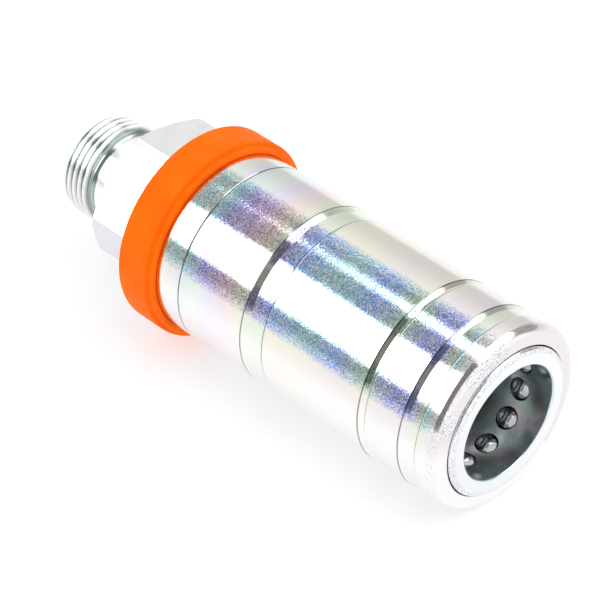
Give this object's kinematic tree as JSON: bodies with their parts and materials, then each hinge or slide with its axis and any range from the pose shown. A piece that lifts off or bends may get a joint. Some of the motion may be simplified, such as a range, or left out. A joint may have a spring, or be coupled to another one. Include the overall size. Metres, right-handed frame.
{
  "type": "hydraulic quick coupling socket",
  "caption": "Push and pull hydraulic coupling socket: plated sleeve, orange marker ring, hexagon, male thread and an open mouth with locking balls.",
  "frame": {"origin": "centre of the end face of the male thread, the face it stands on", "axes": "+Z along the common axis, from the thread towards the mouth that takes the plug"},
  "size_m": [0.0428, 0.0428, 0.1116],
  "materials": {
    "plated_steel": "bright zinc plate, turned",
    "plain_steel": "turned, oiled",
    "spring_steel": "drawn wire",
    "ball_steel": "polished",
    "orange_plastic": "matte moulded",
    "seal_rubber": "matte",
    "white_plastic": "smooth"
  },
  "bodies": {
    "socket": {"rear_adapter": "plated_steel", "socket_body": "plated_steel", "spigot_seal": "seal_rubber", "plug_seal": "seal_rubber", "backup_ring": "white_plastic", "valve_guide": "plain_steel", "valve_spring": "spring_steel", "rear_sleeve_spring": "spring_steel", "rear_stop_washer": "plain_steel", "spring_stop_ring": "spring_steel", "front_stop_washer": "plain_steel", "front_sleeve_spring": "spring_steel", "locking_ball_01": "ball_steel", "locking_ball_02": "ball_steel", "locking_ball_03": "ball_steel", "locking_ball_04": "ball_steel", "locking_ball_05": "ball_steel", "locking_ball_06": "ball_steel", "locking_ball_07": "ball_steel", "locking_ball_08": "ball_steel", "locking_ball_09": "ball_steel", "locking_ball_10": "ball_steel", "locking_ball_11": "ball_steel", "locking_ball_12": "ball_steel"},
    "sleeve_carrier": {"rear_seat_washer": "plain_steel", "front_seat_washer": "plain_steel"},
    "sleeve": {"locking_sleeve": "plated_steel", "sleeve_collar": "plated_steel", "marker_ring": "orange_plastic"},
    "valve": {"valve_poppet": "plain_steel", "poppet_seal": "seal_rubber"}
  },
  "joints": [
    {"name": "sleeve_slide", "type": "slide", "parent": "socket", "child": "sleeve_carrier", "axis": [0, 0, 1], "range_m": [-0.0036, 0.0036], "stiffness_N_per_m": 2600, "deforming": ["rear_sleeve_spring", "front_sleeve_spring"]},
    {"name": "sleeve_turn", "type": "hinge", "parent": "sleeve_carrier", "child": "sleeve", "pos_m": [0, 0, 0], "axis": [0, 0, 1], "continuous": true},
    {"name": "valve_push", "type": "slide", "parent": "socket", "child": "valve", "axis": [0, 0, -1], "range_m": [0, 0.008], "stiffness_N_per_m": 2900, "springref_m": -0.0056, "deforming": ["valve_spring"]}
  ]
}
